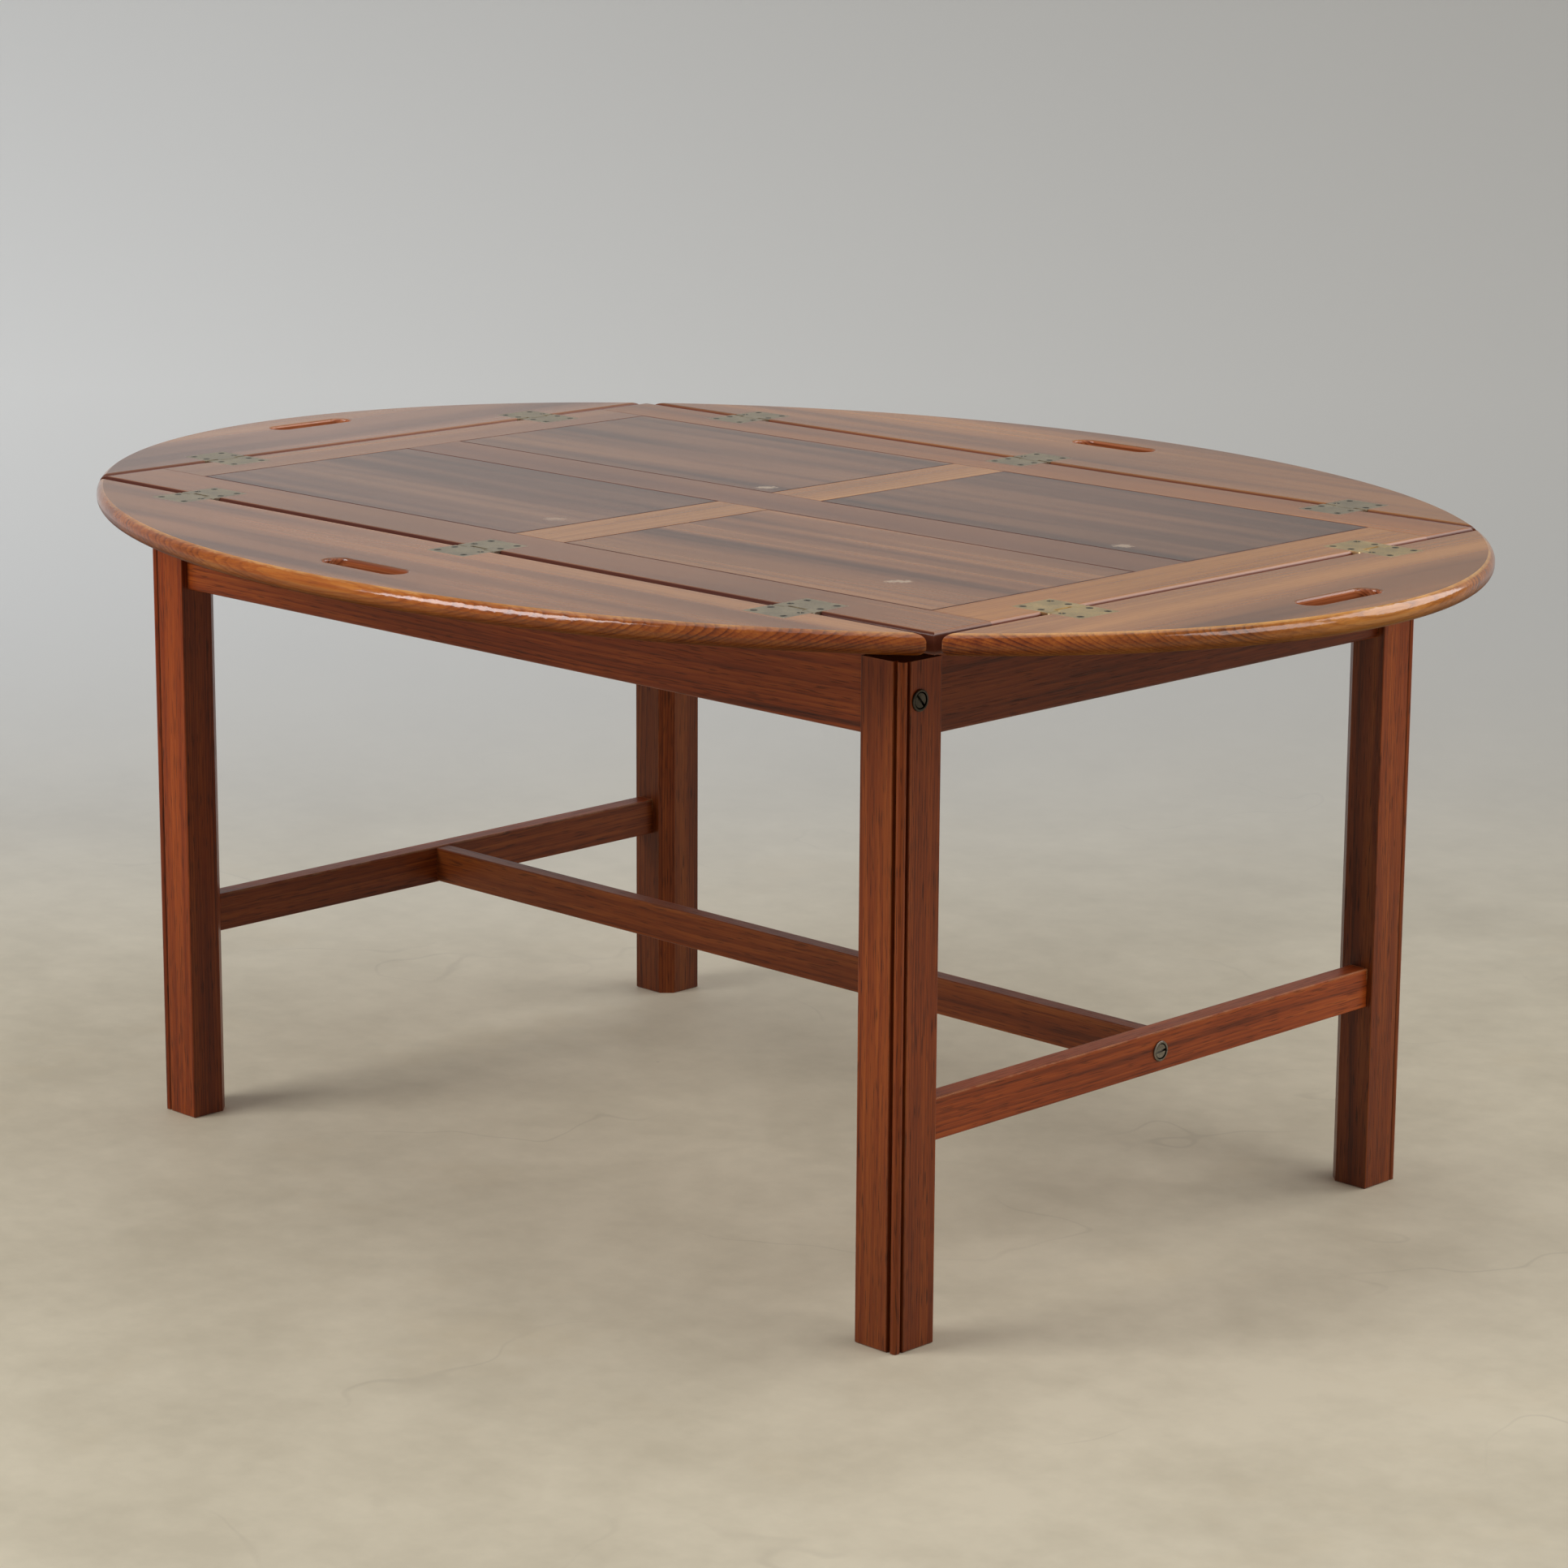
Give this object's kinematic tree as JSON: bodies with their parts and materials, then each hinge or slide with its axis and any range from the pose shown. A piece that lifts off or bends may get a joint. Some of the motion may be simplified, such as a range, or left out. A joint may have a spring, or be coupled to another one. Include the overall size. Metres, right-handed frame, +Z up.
{
  "type": "butler tray table",
  "caption": "Oval butler tray table: a frame-and-panel tray with hinged leaves that fold up as sides, lifting off a bolted stand with an H stretcher.",
  "frame": {"origin": "on the floor under the middle of the table", "axes": "+X along the long side, +Y from the near long side to the far one, +Z up"},
  "size_m": [1.168, 0.8976, 0.5055],
  "materials": {
    "stand_wood": "satin lacquered reddish-brown hardwood",
    "tray_wood": "satin lacquered reddish-brown hardwood",
    "panel_wood": "satin lacquered streaky brown veneer",
    "leaf_wood": "satin lacquered golden-brown hardwood",
    "bearer_wood": "plain sanded hardwood",
    "hinge_brass": "aged satin brass",
    "screw_brass": "aged brass",
    "bronze": "dark antique bronze",
    "steel": "plain"
  },
  "bodies": {
    "stand": {"barrel_nuts": "steel", "bolt_collars": "bronze", "bolts": "bronze", "centre_stretcher": "stand_wood", "end_apron_left": "stand_wood", "end_apron_right": "stand_wood", "end_stretcher_left": "stand_wood", "end_stretcher_right": "stand_wood", "leg_back_left": "stand_wood", "leg_back_right": "stand_wood", "leg_front_left": "stand_wood", "leg_front_right": "stand_wood", "long_apron_back": "stand_wood", "long_apron_front": "stand_wood"},
    "tray": {"bearer_left": "bearer_wood", "bearer_right": "bearer_wood", "bearer_screws": "steel", "end_rail_left": "tray_wood", "end_rail_right": "tray_wood", "hinge_pins": "steel", "hinge_tray_plate_back_1": "hinge_brass", "hinge_tray_plate_back_2": "hinge_brass", "hinge_tray_plate_back_3": "hinge_brass", "hinge_tray_plate_front_1": "hinge_brass", "hinge_tray_plate_front_2": "hinge_brass", "hinge_tray_plate_front_3": "hinge_brass", "hinge_tray_plate_left_1": "hinge_brass", "hinge_tray_plate_left_2": "hinge_brass", "hinge_tray_plate_right_1": "hinge_brass", "hinge_tray_plate_right_2": "hinge_brass", "long_rail_back": "tray_wood", "long_rail_front": "tray_wood", "mid_rail": "tray_wood", "mullion_back": "tray_wood", "mullion_front": "tray_wood", "panel_back_left": "panel_wood", "panel_back_right": "panel_wood", "panel_front_left": "panel_wood", "panel_front_right": "panel_wood", "tray_screws": "screw_brass"},
    "leaf_front": {"hinge_leaf_plate_front_1": "hinge_brass", "hinge_leaf_plate_front_2": "hinge_brass", "hinge_leaf_plate_front_3": "hinge_brass", "leaf_front": "leaf_wood", "leaf_screws_front": "screw_brass"},
    "leaf_back": {"hinge_leaf_plate_back_1": "hinge_brass", "hinge_leaf_plate_back_2": "hinge_brass", "hinge_leaf_plate_back_3": "hinge_brass", "leaf_back": "leaf_wood", "leaf_screws_back": "screw_brass"},
    "leaf_left": {"hinge_leaf_plate_left_1": "hinge_brass", "hinge_leaf_plate_left_2": "hinge_brass", "leaf_left": "leaf_wood", "leaf_screws_left": "screw_brass"},
    "leaf_right": {"hinge_leaf_plate_right_1": "hinge_brass", "hinge_leaf_plate_right_2": "hinge_brass", "leaf_right": "leaf_wood", "leaf_screws_right": "screw_brass"}
  },
  "joints": [
    {"name": "tray_lift", "type": "slide", "parent": "stand", "child": "tray", "axis": [0, 0, 1], "range_m": [0, 0.3]},
    {"name": "front_leaf_fold", "type": "hinge", "parent": "tray", "child": "leaf_front", "pos_m": [0, -0.2938, 0.5025], "axis": [-1, 0, 0], "range_deg": [0, 90]},
    {"name": "back_leaf_fold", "type": "hinge", "parent": "tray", "child": "leaf_back", "pos_m": [0, 0.2938, 0.5025], "axis": [1, 0, 0], "range_deg": [0, 90]},
    {"name": "left_leaf_fold", "type": "hinge", "parent": "tray", "child": "leaf_left", "pos_m": [-0.4413, 0, 0.5025], "axis": [0, 1, 0], "range_deg": [0, 90]},
    {"name": "right_leaf_fold", "type": "hinge", "parent": "tray", "child": "leaf_right", "pos_m": [0.4413, 0, 0.5025], "axis": [0, -1, 0], "range_deg": [0, 90]}
  ]
}
